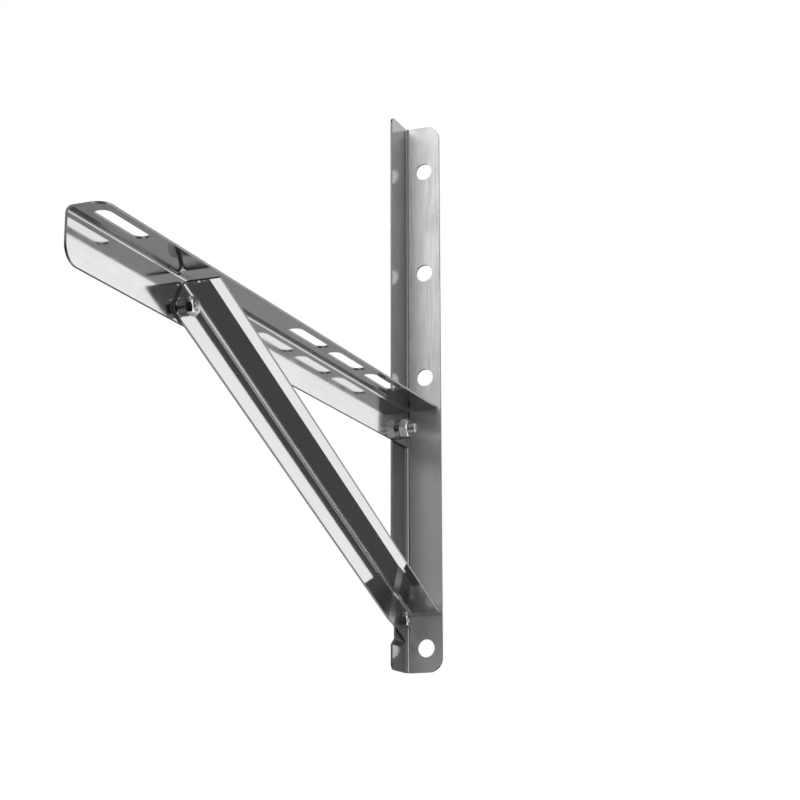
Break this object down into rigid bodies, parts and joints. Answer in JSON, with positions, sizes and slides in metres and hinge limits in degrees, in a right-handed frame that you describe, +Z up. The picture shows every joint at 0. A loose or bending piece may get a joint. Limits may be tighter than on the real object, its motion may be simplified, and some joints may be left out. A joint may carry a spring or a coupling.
{
  "type": "air conditioner wall bracket",
  "caption": "Wall bracket of folded steel sheet for an air conditioner's outdoor unit: a post, a slotted arm and a diagonal brace bolted into a triangle.",
  "frame": {"origin": "on the wall plane, on the line of the wall holes, level with the top of the arm", "axes": "+Z up, +Y into the wall (the arm sticks out towards -Y), +X from the side flanges towards the open side of the angles"},
  "size_m": [0.032, 0.474, 0.42],
  "materials": {
    "post_steel": "polished",
    "arm_steel": "polished",
    "brace_steel": "polished",
    "bolt_steel": "satin",
    "washer_steel": "satin",
    "nut_steel": "satin"
  },
  "bodies": {
    "root": {"post": "post_steel", "arm": "arm_steel", "brace": "brace_steel", "arm_post_bolt": "bolt_steel", "arm_post_washer": "washer_steel", "arm_post_nut": "nut_steel", "arm_brace_bolt": "bolt_steel", "arm_brace_washer": "washer_steel", "arm_brace_spring_washer": "washer_steel", "arm_brace_nut": "nut_steel", "brace_post_bolt": "bolt_steel", "brace_post_nut": "nut_steel"}
  },
  "joints": []
}
